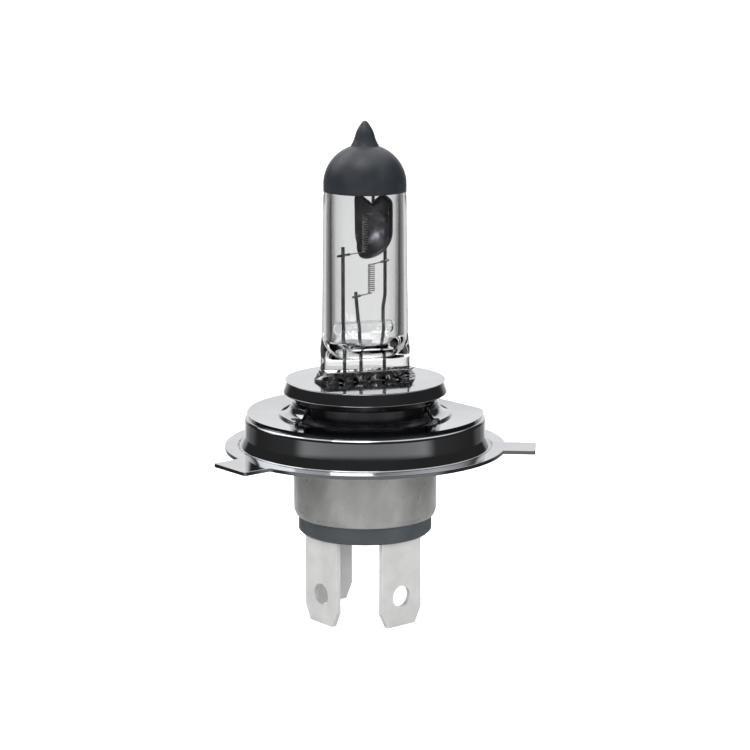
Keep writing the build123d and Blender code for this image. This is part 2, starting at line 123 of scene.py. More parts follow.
# %% A little node helper
def add_node(tree, kind, values=None, **settings):
    """A new node with its settings and some of its sockets filled in."""
    node = tree.nodes.new(kind)
    for key, value in settings.items():
        setattr(node, key, value)
    for socket, value in (values or {}).items():
        node.inputs[socket].default_value = value
    return node


def set_stops(ramp, stops, smooth="LINEAR"):
    """Grey stops of a colour ramp, as (position, brightness)."""
    ramp.color_ramp.interpolation = smooth
    elements = ramp.color_ramp.elements
    while len(elements) < len(stops):
        elements.new(0.5)
    for element, (position, shade) in zip(elements, stops):
        element.position = position
        element.color = shade if isinstance(shade, tuple) else (shade, shade, shade, 1)


# %% The room as a world
LOW_ROOM = [(0.0, 0.24), (0.22, 0.30), (0.34, 0.045), (0.76, 0.03), (0.87, 0.13), (0.94, 0.28),
            (0.985, 0.9), (1.0, 1.0)]
HIGH_ROOM = [(0.0, 0.035), (0.3, 0.03), (0.90, 0.03), (0.965, 0.95), (1.0, 1.0)]
CEILING = 1.2
CEILING_LEAN = 0.2          # how much further down the ceiling reaches behind the lamp than in front

world = bpy.data.worlds.new("room")
bpy.context.scene.world = world
world.use_nodes = True
room = world.node_tree
direction = add_node(room, "ShaderNodeTexCoord").outputs["Generated"]
flat_direction = add_node(room, "ShaderNodeVectorMath", {1: (1, 1, 0)}, operation="MULTIPLY")
level = add_node(room, "ShaderNodeVectorMath", operation="NORMALIZE")
away = add_node(room, "ShaderNodeVectorMath", {1: tuple(-toward_camera)}, operation="DOT_PRODUCT")
share = add_node(room, "ShaderNodeMapRange", {"From Min": -1.0, "From Max": 1.0})
low_room = add_node(room, "ShaderNodeValToRGB")
high_room = add_node(room, "ShaderNodeValToRGB")
set_stops(low_room, LOW_ROOM, "EASE")
set_stops(high_room, HIGH_ROOM, "EASE")
height = add_node(room, "ShaderNodeSeparateXYZ")
lean = add_node(room, "ShaderNodeMath", {1: CEILING_LEAN}, operation="MULTIPLY_ADD")
horizon = add_node(room, "ShaderNodeMapRange", {"From Min": -0.04, "From Max": 0.08},
                   interpolation_type="SMOOTHSTEP")
overhead = add_node(room, "ShaderNodeMapRange", {"From Min": 0.62, "From Max": 0.86},
                    interpolation_type="SMOOTHSTEP")
walls = add_node(room, "ShaderNodeMix", data_type="RGBA")
lid = add_node(room, "ShaderNodeMix", data_type="RGBA")
lid.inputs["B"].default_value = (CEILING, CEILING, CEILING, 1)
for start, end in (
    (direction, flat_direction.inputs[0]), (flat_direction.outputs[0], level.inputs[0]),
    (level.outputs[0], away.inputs[0]), (away.outputs["Value"], share.inputs["Value"]),
    (share.outputs[0], low_room.inputs[0]), (share.outputs[0], high_room.inputs[0]),
    (direction, height.inputs[0]), (height.outputs["Z"], horizon.inputs["Value"]),
    (away.outputs["Value"], lean.inputs[0]), (height.outputs["Z"], lean.inputs[2]),
    (lean.outputs[0], overhead.inputs["Value"]), (horizon.outputs[0], walls.inputs[0]),
    (low_room.outputs[0], walls.inputs["A"]), (high_room.outputs[0], walls.inputs["B"]),
    (overhead.outputs[0], lid.inputs[0]), (walls.outputs["Result"], lid.inputs["A"]),
    (lid.outputs["Result"], room.nodes["Background"].inputs["Color"]),
):
    room.links.new(start, end)
bpy.context.scene.view_settings.view_transform = "Standard"
print("room with", len(LOW_ROOM), "stops below the horizon and", len(HIGH_ROOM), "above")


# %% Steps, circles, meshes and materials
ROUND = 144


def levels(low, high, count):
    """Evenly spaced values from low to high, both included."""
    return [low + (high - low) * i / count for i in range(count + 1)]


def ring(radius, z, count=ROUND):
    """A level circle about the lamp's axis."""
    turns = [2 * pi * i / count for i in range(count)]
    return [(radius * cos(turn), radius * sin(turn), z) for turn in turns]


def mesh_from(build, name):
    """A smooth mesh from a bmesh that is done with."""
    mesh = bpy.data.meshes.new(name)
    build.to_mesh(mesh)
    build.free()
    mesh.shade_smooth()
    return mesh


def shader_of(made):
    return made.node_tree.nodes["Principled BSDF"]


def new_finish(name, **values):
    """A material with these constants on the shader's own sockets; an underscore stands for a space."""
    made = bpy.data.materials.new(name)
    made.use_nodes = True
    for socket, value in values.items():
        shader_of(made).inputs[socket.replace("_", " ")].default_value = value
    return made


# %% Floor and backdrop in one sweep
BACKDROP_RADIUS = 1500
BACKDROP_HEIGHT = 4500
COVE = 500
COVE_STEPS = 12
BACKDROP_ROUND = 96


def backdrop():
    """A round pale floor that curls up into a wall, seen only by the camera and by soft light."""
    inner_edge = BACKDROP_RADIUS - COVE
    line = [(0.5, ground), (inner_edge, ground)]
    for turn in levels(0, pi / 2, COVE_STEPS)[1:]:
        line.append((inner_edge + COVE * sin(turn), ground + COVE * (1 - cos(turn))))
    line.append((BACKDROP_RADIUS, ground + BACKDROP_HEIGHT))
    build = bmesh.new()
    rings = []
    for radius, z in line:
        rings.append([build.verts.new(Vector(place) * MM) for place in ring(radius, z, BACKDROP_ROUND)])
    build.faces.new(rings[0])
    for inner, outer in zip(rings, rings[1:]):
        for i in range(BACKDROP_ROUND):
            j = (i + 1) % BACKDROP_ROUND
            build.faces.new((inner[i], outer[i], outer[j], inner[j]))
    return bpy.data.objects.new("backdrop", mesh_from(build, "backdrop"))


floor = backdrop()
add_to_scene(floor)
floor.visible_glossy = False
floor.visible_transmission = False
paper = new_finish("paper", Base_Color=(0.5, 0.5, 0.5, 1), Roughness=1.0, Specular_IOR_Level=0.0,
                   Emission_Color=(1, 1, 1, 1), Emission_Strength=0.62)
floor.data.materials.append(paper)


# %% Soft lights
def soft_light(name, turn, rise, distance, size, power, mirrored=False):
    """A square soft box that aims at the lamp. Mirrors see it only if they're meant to."""
    box = bpy.data.objects.new(name, bpy.data.lights.new(name, "AREA"))
    box.data.size = size * MM
    box.data.energy = power
    around = VIEW_TURN + radians(turn)
    level_part = cos(radians(rise))
    toward = Vector((sin(around) * level_part, -cos(around) * level_part, sin(radians(rise))))
    box.location = toward * distance * MM
    box.rotation_euler = toward.to_track_quat("Z", "Y").to_euler()
    box.visible_glossy = mirrored
    add_to_scene(box)
    return box


soft_light("left_box", -58, 30, 700, 420, 4.6)
soft_light("right_box", 56, 26, 700, 420, 4.2)
soft_light("top_box", 180, 75, 650, 500, 4.0)
soft_light("dome_box", -20, 69, 620, 300, 0.8, True)
soft_light("edge_box", -118, 42, 640, 400, 0.7, True)
print("five soft boxes")

# %% [markdown]
# ## Skins
# Nearly every part of this lamp is a body that was turned, drawn or pressed round one axis. Such a
# body is a stack of rings, each with the same number of points, joined by quads. The rings don't
# have to be round: pressed glass and the ring with its straight side are rings too. A modifier that
# weighs normals by face area then keeps flat faces flat and lets the rounded corners carry the light.


# %% Skins
def skin(rings, joined=False):
    """Vertices and faces through rings in order. Joined, the last meets the first; else both ends close."""
    count = len(rings[0])
    vertices = [point for one in rings for point in one]
    pairs = list(zip(range(len(rings)), range(1, len(rings))))
    if joined:
        pairs.append((len(rings) - 1, 0))
    faces = []
    for a, b in pairs:
        for i in range(count):
            j = (i + 1) % count
            faces.append((a * count + i, a * count + j, b * count + j, b * count + i))
    if not joined:
        faces.append(tuple(range(count)))
        faces.append(tuple(range((len(rings) - 1) * count, len(rings) * count)))
    return vertices, faces


def mesh_of(name, skins, hollows=(), place=None):
    """One mesh from closed skins. Hollows are skins that bound an empty space, so they face inward."""
    whole = bmesh.new()
    for vertices, faces in [*skins, *hollows]:
        part = bmesh.new()
        corners = [part.verts.new(Vector(v) * MM) for v in vertices]
        for face in faces:
            part.faces.new([corners[i] for i in face])
        bmesh.ops.remove_doubles(part, verts=part.verts, dist=1e-7)
        bmesh.ops.dissolve_degenerate(part, edges=part.edges, dist=1e-8)
        bmesh.ops.recalc_face_normals(part, faces=part.faces)
        if (vertices, faces) in hollows:
            bmesh.ops.reverse_faces(part, faces=part.faces)
        step = bpy.data.meshes.new("step")
        part.to_mesh(step)
        part.free()
        whole.from_mesh(step)
        bpy.data.meshes.remove(step)
    mesh = mesh_from(whole, name)
    if place is not None:
        mesh.transform(place)
    return mesh


def piece(mesh, finish, slot, *nodes, weigh=True):
    """The mesh as a piece of the lamp: it rides on the lamp and stands for these CAD nodes."""
    made = bpy.data.objects.new(mesh.name, mesh)
    add_to_scene(made)
    mesh.materials.clear()
    mesh.materials.append(finish)
    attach(made, "root")
    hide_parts(*nodes)
    if weigh:
        made.modifiers.new("weigh", "WEIGHTED_NORMAL").keep_sharp = True
    print(f"{made.name}: {len(mesh.vertices)} points")
    return made


# %% Rounded outlines
def softened(corners, steps=5):
    """A closed chain of (across, up, rounding) corners, with every rounded corner turned into an arc."""
    points = []
    for before, here, after in zip(corners[-1:] + corners[:-1], corners, corners[1:] + corners[:1]):
        corner = Vector(here[:2])
        radius = here[2] if len(here) > 2 else 0
        if not radius:
            points.append(tuple(corner))
            continue
        back = (Vector(before[:2]) - corner).normalized()
        ahead = (Vector(after[:2]) - corner).normalized()
        half = back.angle(ahead) / 2
        centre = corner + (back + ahead).normalized() * (radius / sin(half))
        start = corner + back * (radius / tan(half)) - centre
        sweep = pi - 2 * half
        if start.cross(ahead) < 0:
            sweep = -sweep
        for step in range(steps + 1):
            turn = sweep * step / steps
            points.append((centre.x + start.x * cos(turn) - start.y * sin(turn),
                           centre.y + start.x * sin(turn) + start.y * cos(turn)))
    return points


def turned(profile):
    """The skin of a closed outline of (radius, height), spun about the lamp's axis."""
    return skin([ring(radius, z) for radius, z in profile], joined=True)


# %% [markdown]
# ## Finishes
# Every finish is built from the shader's own values plus noise that lives in the lamp's coordinates.
# The noise stands for what a machine or a furnace leaves: faint clouds in a plated coat, fine
# pits, drawing lines. Baked textures would do the same, but noise stays sharp at any distance.


# %% Finish helpers
def grain(made, size, detail, stretch):
    """Noise in the lamp's own coordinates; size is the width of one cloud in millimetres."""
    tree = made.node_tree
    coords = add_node(tree, "ShaderNodeTexCoord")
    scale = add_node(tree, "ShaderNodeMapping", {"Scale": stretch})
    cloud = add_node(tree, "ShaderNodeTexNoise", {"Scale": 1 / (size * MM), "Detail": detail})
    tree.links.new(coords.outputs["Object"], scale.inputs[0])
    tree.links.new(scale.outputs[0], cloud.inputs["Vector"])
    return cloud.outputs["Fac"]


def tint(made, size, dark, light, detail=3.0, stretch=(1, 1, 1)):
    """The base colour wanders between two shades."""
    cloud = grain(made, size, detail, stretch)
    ramp = add_node(made.node_tree, "ShaderNodeValToRGB")
    set_stops(ramp, [(0.3, (*dark, 1)), (0.7, (*light, 1))])
    made.node_tree.links.new(cloud, ramp.inputs[0])
    made.node_tree.links.new(ramp.outputs[0], shader_of(made).inputs["Base Color"])


def roughen(made, size, low, high, detail=3.0, stretch=(1, 1, 1)):
    """The roughness wanders between two values."""
    cloud = grain(made, size, detail, stretch)
    spread = add_node(made.node_tree, "ShaderNodeMapRange",
                      {"From Min": 0.3, "From Max": 0.7, "To Min": low, "To Max": high})
    made.node_tree.links.new(cloud, spread.inputs["Value"])
    made.node_tree.links.new(spread.outputs[0], shader_of(made).inputs["Roughness"])


def bump(made, size, depth, strength, detail=3.0, stretch=(1, 1, 1)):
    """Relief whose depth is in millimetres. A second relief goes on top of the first."""
    cloud = grain(made, size, detail, stretch)
    normal = shader_of(made).inputs["Normal"]
    relief = add_node(made.node_tree, "ShaderNodeBump", {"Strength": strength, "Distance": depth * MM})
    made.node_tree.links.new(cloud, relief.inputs["Height"])
    if normal.is_linked:
        made.node_tree.links.new(normal.links[0].from_socket, relief.inputs["Normal"])
    made.node_tree.links.new(relief.outputs[0], normal)


# %% [markdown]
# ## Glass
# The burner is a length of hard quartz tube. Its lower end was heated and pressed flat round the
# three leads, and its upper end was drawn off into a point after the gas went in. Quartz has a
# faint grey cast and a slightly wavy skin. Glass has to be a closed body with a real inner wall, or
# it won't bend light the way a tube does, so both walls are skins and the inner one faces inward.

# %% Glass finish
lamp_glass = new_finish("lamp_glass", Transmission_Weight=1.0, IOR=1.47, Roughness=0.0)
tint(lamp_glass, 9.0, (0.875, 0.878, 0.88), (0.905, 0.908, 0.91))
bump(lamp_glass, 4.0, 0.02, 0.25, 1.0, (1, 1, 0.5))

# %% The outline of the closed end
COAT_EDGE, TIP = heights("black_top_coat")
COAT = 0.1
SHOULDER = 39.8
DOME_RISE = 6.0
DOME_STEPS = 24
GLASS_TOP_RADIUS = extent("black_top_coat")[1].x
TIP_ROOT = 2.15
TIP_LINE = [(1.67, 46.4), (1.25, 47.7), (0.7, 48.65), (0.35, 49.1)]  # (radius, height)


def smooth_line(points, steps=8):
    """A curve through all the points, with the ends' own directions."""
    line = []
    spread = [points[0], *points, points[-1]]
    for a, b, c, d in zip(spread, spread[1:], spread[2:], spread[3:]):
        a, b, c, d = Vector(a), Vector(b), Vector(c), Vector(d)
        for step in range(steps):
            t = step / steps
            line.append(tuple(0.5 * (2 * b + (c - a) * t + (2 * a - 5 * b + 4 * c - d) * t ** 2
                                     + (3 * b - a - 3 * c + d) * t ** 3)))
    line.append(tuple(points[-1]))
    return line


dome_line = [(GLASS_TOP_RADIUS, SHOULDER - 0.8)]
for turn in levels(0, acos(TIP_ROOT / GLASS_TOP_RADIUS), DOME_STEPS):
    dome_line.append((GLASS_TOP_RADIUS * cos(turn), SHOULDER + DOME_RISE * sin(turn)))
dome_line += smooth_line([dome_line[-1], *TIP_LINE, (0.0, TIP)])[1:]
print("dome line of", len(dome_line), "points up to", round(TIP, 2))


# %% Pressing a round tube flat
def pressed_ring(half_x, half_y, z, square, turn=0.0):
    """A level ring between an ellipse (square = 2) and a box with soft corners (square = 8 or so)."""
    points = []
    for i in range(ROUND):
        around = 2 * pi * i / ROUND
        x, y = abs(cos(around - turn)) / half_x, abs(sin(around - turn)) / half_y
        reach = (x ** square + y ** square) ** (-1 / square)
        points.append((reach * cos(around), reach * sin(around), z))
    return points


def ease(share):
    """From 0 to 1 with level ends."""
    share = min(max(share, 0), 1)
    return share * share * (3 - 2 * share)


# %% The glass envelope
PINCH_BOTTOM = heights("glass_envelope")[0]
PINCH_HALF = 1.75
PINCH_HALF_WIDTH = 6.8
PINCH_SQUARE = 7            # how boxy the pinch is, for pressed_ring
PINCH_SOFT = 0.3            # rounding of the pinch's foot
NO_RADIUS = 0.02            # stands for a point, where a skin closes on the axis
PINCH_TOP = 13.0
FLARE_TOP = 17.4
GLASS_RADIUS = 6.58
CAVITY_RADIUS = 5.08
CAVITY_FLOOR = 14.0
CAVITY_FOOT = 0.45
CAVITY_CORNER = 2.2
CAVITY_TOP = 43.7
BURNER_TURN = radians(66)
burner_turn = Matrix.Rotation(BURNER_TURN, 4, "Z")


def outer_glass():
    """From the fire-softened foot of the pinch, through the flare, up the tube and over the dome."""
    foot = PINCH_HALF_WIDTH - PINCH_SOFT, PINCH_HALF - PINCH_SOFT
    rings = [pressed_ring(*foot, PINCH_BOTTOM, PINCH_SQUARE)]
    rings += [pressed_ring(PINCH_HALF_WIDTH, PINCH_HALF, z, PINCH_SQUARE)
              for z in levels(PINCH_BOTTOM + PINCH_SOFT, PINCH_TOP - 0.4, 5)]
    for z in levels(PINCH_TOP, FLARE_TOP, 18):
        rise = (z - PINCH_TOP) / (FLARE_TOP - PINCH_TOP)
        half_x = PINCH_HALF_WIDTH + (GLASS_RADIUS - PINCH_HALF_WIDTH) * ease(rise)
        half_y = PINCH_HALF + (GLASS_RADIUS - PINCH_HALF) * ease(rise) ** 0.9
        rings.append(pressed_ring(half_x, half_y, z, 2 + (PINCH_SQUARE - 2) * (1 - rise) ** 2))
    neck = GLASS_TOP_RADIUS - GLASS_RADIUS
    for z in levels(FLARE_TOP + 1.2, COAT_EDGE - 0.6, 8):
        rings.append(ring(GLASS_RADIUS + neck * (z - FLARE_TOP) / (COAT_EDGE - FLARE_TOP), z))
    rings.append(ring(GLASS_TOP_RADIUS - COAT, COAT_EDGE))
    rings += [ring(max(radius - COAT, NO_RADIUS), z - COAT * (z > SHOULDER)) for radius, z in dome_line]
    return skin(rings)


def cavity():
    """The gas space: a flat rounded foot that opens to a round tube and closes in a low dome."""
    rings = []
    for z in levels(CAVITY_FLOOR, FLARE_TOP, 18):
        lift = max(CAVITY_FLOOR + CAVITY_CORNER - z, 0)
        half_x = CAVITY_RADIUS - CAVITY_CORNER + sqrt(CAVITY_CORNER ** 2 - lift ** 2)
        rise = (z - CAVITY_FLOOR) / (FLARE_TOP - CAVITY_FLOOR)
        half_y = CAVITY_FOOT + (CAVITY_RADIUS - CAVITY_FOOT) * ease(rise)
        rings.append(pressed_ring(half_x, half_y, z, 2 + 2 * (1 - rise) ** 2))
    rings += [ring(CAVITY_RADIUS, z) for z in levels(FLARE_TOP + 1, SHOULDER, 10)]
    for turn in levels(0, pi / 2, 12)[1:]:
        radius = max(CAVITY_RADIUS * cos(turn), NO_RADIUS)
        rings.append(ring(radius, SHOULDER + (CAVITY_TOP - SHOULDER) * sin(turn)))
    return skin(rings)


glass_mesh = mesh_of("glass_envelope_walls", [outer_glass()], [cavity()], burner_turn)
piece(glass_mesh, lamp_glass, "glass", "glass_envelope", weigh=False)

# %% [markdown]
# ## Black top
# The end of the bulb is dipped in a dark silicate paint that is fired on. It is thin, satin, and
# its lower edge is not quite straight. A second thin shell over the dome carries it, because a
# painted zone on the glass itself would have no edge to catch the light.

# %% Black coat
black_paint = new_finish("black_paint", Specular_IOR_Level=0.55)
tint(black_paint, 2.5, (0.008, 0.010, 0.013), (0.014, 0.016, 0.020), 5.0)
roughen(black_paint, 1.2, 0.34, 0.46)
bump(black_paint, 0.35, 0.01, 0.5, 3.0)


WAVE = 0.05                 # half the height of the three waves along the paint's edge
WAVE_REACH = 1.2            # how far up the waves die out


def coat_skin():
    """Outer and inner face of the paint, closed at the tip and along its wavy lower edge."""
    outside = [(GLASS_TOP_RADIUS, COAT_EDGE + 0.05)] + dome_line
    deep = COAT * 0.8
    inside = [(max(radius - deep, 0.01), z - deep * (z > SHOULDER)) for radius, z in outside]
    rings = [ring(radius, z) for radius, z in reversed(inside)]
    rings.append(ring(GLASS_TOP_RADIUS - COAT / 2, COAT_EDGE))
    rings += [ring(max(radius, 0.01), z) for radius, z in outside]
    waved = []
    for one in rings:
        share = max(0, 1 - (one[0][2] - COAT_EDGE) / WAVE_REACH)
        waved.append([(x, y, z + WAVE * share * (1 + sin(3 * atan2(y, x) + 0.7))) for x, y, z in one])
    return skin(waved)


coat_mesh = mesh_of("black_top_paint", [coat_skin()])
piece(coat_mesh, black_paint, "black_coat", "black_top_coat", weigh=False)

# %% [markdown]
# ## Leads, bridge and posts
# Three round wires come up through the pinch. A short glass bar, melted round all three, keeps them
# apart when the lamp shakes. Wires are curves with a round section: the path is a few listed
# points and the curve does the bending. The bar is a skin with fire-rounded ends.

# %% Wire helper
def mesh_of_curve(name, line):
    """What a curve looks like, as a mesh; the curve itself goes away."""
    holder = bpy.data.objects.new(name, line)
    add_to_scene(holder)
    bpy.context.view_layer.update()
    mesh = bpy.data.meshes.new_from_object(holder.evaluated_get(bpy.context.evaluated_depsgraph_get()))
    mesh.name = name
    bpy.data.objects.remove(holder)
    bpy.data.curves.remove(line)
    return mesh


def wire_mesh(name, points, radius, place=None, fine=6, sides=3):
    """A round wire through these points as a mesh, with closed ends."""
    line = bpy.data.curves.new(name, "CURVE")
    line.dimensions = "3D"
    line.resolution_u = fine
    line.bevel_depth = radius * MM
    line.bevel_resolution = sides
    line.use_fill_caps = True
    spline = line.splines.new("NURBS")
    spline.points.add(len(points) - 1)
    for control, point in zip(spline.points, points):
        control.co = (point[0] * MM, point[1] * MM, point[2] * MM, 1)
        control.radius = point[3] if len(point) > 3 else 1.0
    spline.order_u = 3
    spline.use_endpoint_u = True
    mesh = mesh_of_curve(name, line)
    if place is not None:
        mesh.transform(place)
    mesh.shade_smooth()
    return mesh


def joined(name, meshes):
    """Several meshes as one."""
    whole = bmesh.new()
    for mesh in meshes:
        whole.from_mesh(mesh)
        bpy.data.meshes.remove(mesh)
    return mesh_from(whole, name)


# %% Lead finish
lead_metal = new_finish("lead_metal", Metallic=1.0)
tint(lead_metal, 0.8, (0.12, 0.122, 0.13), (0.25, 0.25, 0.26), 4.0, (1, 1, 0.15))
roughen(lead_metal, 0.5, 0.28, 0.45, 2.0)
bump(lead_metal, 0.25, 0.01, 0.4, 2.0, (1, 1, 0.1))

# %% Posts, as (across the pinch, depth, height) and sometimes a share of the full thickness
LEAD_RADIUS = 0.275
LEAD_BOTTOM, DIP_TOP = heights("dip_lead")
DIP_X = -3.38
MAIN_X = -0.8
MAIN_TOP_X = -1.44
COMMON_X = 2.88
COMMON_TOP_X = 3.2
MAIN_TOP = heights("main_lead")[1]
COMMON_TOP = heights("common_lead")[1]

posts = {
    "dip_lead": [(DIP_X, 0, LEAD_BOTTOM), (DIP_X, 0, 15), (DIP_X, 0.02, 22), (DIP_X, 0, 27.8),
                 (DIP_X, 0, 28.6, 0.96), (DIP_X, 0, 29.2, 1.0), (DIP_X, 0, 29.9), (DIP_X, 0, DIP_TOP, 0.94)],
    "main_lead": [(MAIN_X, 0, LEAD_BOTTOM), (MAIN_X, 0, 10), (MAIN_X, 0, 15.2), (MAIN_X - 0.04, 0, 16.6),
                  (MAIN_TOP_X + 0.3, 0, 20), (MAIN_TOP_X + 0.04, 0, 22.6), (MAIN_TOP_X, 0, MAIN_TOP, 0.94)],
    "common_lead": [(COMMON_X, 0, LEAD_BOTTOM), (COMMON_X, 0, 12), (COMMON_X, 0, 20.4), (COMMON_X, 0, 21.2),
                    (COMMON_TOP_X, 0, 22.8), (COMMON_TOP_X, 0, 23.7), (COMMON_TOP_X, 0, 27.5),
                    (COMMON_TOP_X, 0, 28.9), (COMMON_TOP_X, 0, COMMON_TOP - 0.2)],
}
for name, points in posts.items():
    post_mesh = wire_mesh(name + "_wire", points, LEAD_RADIUS, burner_turn, 8, 5)
    piece(post_mesh, lead_metal, "lead_metal", name)

# %% Glass bridge
BRIDGE_Z = sum(heights("glass_bridge")) / 2
BRIDGE_RADIUS = 0.98
BRIDGE_ENDS = (-4.9, 4.5)
BRIDGE_ROUNDING = 0.55
BRIDGE_WAIST = 0.965        # the middle's share of the full thickness
BRIDGE_ROUND = 64
clear_bar = new_finish("clear_bar", Transmission_Weight=1.0, IOR=1.47, Roughness=0.0)
tint(clear_bar, 3.0, (0.93, 0.935, 0.94), (0.97, 0.972, 0.975))
bump(clear_bar, 1.6, 0.04, 0.4, 1.0)


def bar_skin():
    """A bar along X whose ends were rounded in the flame and are a little thicker than the middle."""
    low, high = BRIDGE_ENDS
    stations = [(low, NO_RADIUS)]
    for turn in levels(pi / 2, 0, 8):
        across = low + BRIDGE_ROUNDING * (1 - sin(turn))
        stations.append((across, BRIDGE_RADIUS - BRIDGE_ROUNDING * (1 - cos(turn))))
    middle = []
    for x in levels(low + BRIDGE_ROUNDING + 0.4, high - BRIDGE_ROUNDING - 0.4, 12):
        swell = (2 * abs(x - (low + high) / 2) / (high - low)) ** 2
        middle.append((x, BRIDGE_RADIUS * (BRIDGE_WAIST + (1 - BRIDGE_WAIST) * swell)))
    far = [(high + low - x, r) for x, r in reversed(stations)]
    turns = [2 * pi * i / BRIDGE_ROUND for i in range(BRIDGE_ROUND)]
    rings = []
    for x, r in stations + middle + far:
        rings.append([(x, r * cos(turn), BRIDGE_Z + r * sin(turn)) for turn in turns])
    return skin(rings)


bar_mesh = mesh_of("glass_bridge_bar", [bar_skin()], place=burner_turn)
piece(bar_mesh, clear_bar, "glass", "glass_bridge", weigh=False)

# %% [markdown]
# ## Filaments
# A filament is tungsten wire wound on a mandrel. The coil of this lamp is open enough for each turn
# to show. Both legs leave sideways and end in little tubes that are welded to the posts. One spline
# runs from leg to leg through the whole coil, so there is no joint to hide.

# %% Filament finish and helper
tungsten = new_finish("tungsten", Metallic=1.0)
tint(tungsten, 0.3, (0.20, 0.195, 0.19), (0.40, 0.395, 0.385), 3.0)
roughen(tungsten, 0.2, 0.25, 0.4)
LEG_SIDE = LEAD_RADIUS + 0.195
FILAMENT_WIRE = 0.085
TURN_POINTS = 12
COIL_SWELL = 1.03           # control points stand this much outside the curve that they pull
LEG_BENDS = (0.3, 0.7)      # where a leg straightens, from the coil


def leg_end(coil, top, post, past):
    """The free end of a filament leg, just past the post that carries it, and the way it runs."""
    start = Vector((coil["x"], -coil["radius"], coil["z"] + (coil["height"] if top else 0)))
    middle = Vector((post[0], -LEG_SIDE, post[1]))
    along = (middle - start).normalized()
    return start, middle, along, middle + along * past


def filament_mesh(name, coil, lower, upper):
    """One wire from leg to leg through the coil; lower and upper are (post, how far the leg runs past)."""
    start, middle, along, end = leg_end(coil, False, *lower)
    near, far = LEG_BENDS
    points = [end, middle, start + along * far, start + along * near]
    radius = coil["radius"]
    for number in range(coil["turns"] * TURN_POINTS + 1):
        turn = 2 * pi * number / TURN_POINTS
        points.append((coil["x"] - radius * sin(turn) * COIL_SWELL, -radius * cos(turn) * COIL_SWELL,
                       coil["z"] + coil["height"] * number / TURN_POINTS / coil["turns"]))
    start, middle, along, end = leg_end(coil, True, *upper)
    points += [start + along * near, start + along * far, middle, end]
    return wire_mesh(name, points, FILAMENT_WIRE, burner_turn, 2, 2)


dip_coil = dict(x=0.0, z=29.65, height=5.6, radius=0.41, turns=15)
main_coil = dict(x=1.0, z=23.35, height=4.35, radius=0.48, turns=14)
lower_dip = ((DIP_X, 29.2), 0.9)
upper_dip = ((3.35, 35.5), 0.3)
lower_main = ((MAIN_TOP_X + 0.03, 22.9), 0.7)
upper_main = ((COMMON_TOP_X, 28.15), 0.5)
dip_mesh = filament_mesh("dip_filament_coil", dip_coil, lower_dip, upper_dip)
main_mesh = filament_mesh("main_filament_coil", main_coil, lower_main, upper_main)
piece(dip_mesh, tungsten, "tungsten", "dip_filament")
piece(main_mesh, tungsten, "tungsten", "main_filament")

# %% Crimped tubes on the legs
SLEEVE_TUBE = 0.21
CRIMP = [(0, 0.9), (0.12, 1.0), (0.3, 0.78), (0.42, 1.0), (0.55, 1.12), (0.7, 1.0), (0.84, 0.8),
         (1.0, 0.95)]       # (share of the length, share of the thickness)


def crimped_tube(name, coil, top, post, before, after):
    """A thin tube on a leg: pinched twice by the crimp, with a weld bead against the post."""
    start, middle, along, end = leg_end(coil, top, post, after)
    first = middle - along * before
    points = [(*first.lerp(end, share), thick) for share, thick in CRIMP]
    return wire_mesh(name, points, SLEEVE_TUBE, burner_turn, 5, 4)


tubes = {
    "dip_leg_sleeve": (dip_coil, False, lower_dip[0], 0.95, 0.95),
    "shield_leg_sleeve": (dip_coil, True, upper_dip[0], 1.2, 0.35),
    "main_leg_sleeve": (main_coil, False, lower_main[0], 0.6, 0.7),
    "common_leg_sleeve": (main_coil, True, upper_main[0], 0.85, 0.45),
}
for name, facts in tubes.items():
    piece(crimped_tube(name + "_tube", *facts), lead_metal, "lead_metal", name)

# %% [markdown]
# ## The shield
# Under the dip filament sits half a cup of thin steel. It cuts off the lower half of the beam. It
# was pressed, so its bottom is round, its rim is slightly rolled, and three dimples stiffen the
# wall. The cup is a grid: for each height the wall is an arc that stops where the edge was cut. A
# solidify modifier gives it its sheet and a bevel breaks the cut edges.

# %% Shield
SHIELD_RADIUS = 4.2
SHIELD_BOTTOM, STRAP_TOP = heights("dip_shield")
SHIELD_TOP = 37.9
SHIELD_TURN = SHIELD_BOTTOM + SHIELD_RADIUS
SHIELD_EDGE = [(28.6, -0.2), (28.8, -0.1), (29.1, 0.2), (30.5, 1.0), (32.8, 1.15), (37.9, 1.05)]
SHIELD_SHEET = 0.22
NOTCH_TURN = radians(122)
NOTCH = (2.1, 1.7)          # half width, depth
STRAP_HALF = 0.25
STRAP_LAP = 1.4
NOTCH_BLEND = 3.2           # how far down the wall the notch is felt
DRAWN_IN = (1.2, 1.1)       # height of the narrowed top, and how far it goes in
DIMPLES = [(97, 35.4), (90, 34.3), (91, 32.5)]  # (angle, height)
DIMPLE = (0.45, 0.16)       # radius, height of the dent
shield_steel = new_finish("shield_steel", Metallic=1.0)
tint(shield_steel, 1.5, (0.08, 0.078, 0.09), (0.15, 0.145, 0.165), 4.0)
roughen(shield_steel, 0.9, 0.36, 0.48)
bump(shield_steel, 0.8, 0.02, 0.3, 3.0)


def between(table, value):
    """Straight-line reading from a table of (key, value)."""
    for (low, a), (high, b) in zip(table, table[1:]):
        if value <= high:
            return a + (b - a) * (value - low) / (high - low)
    return table[-1][1]


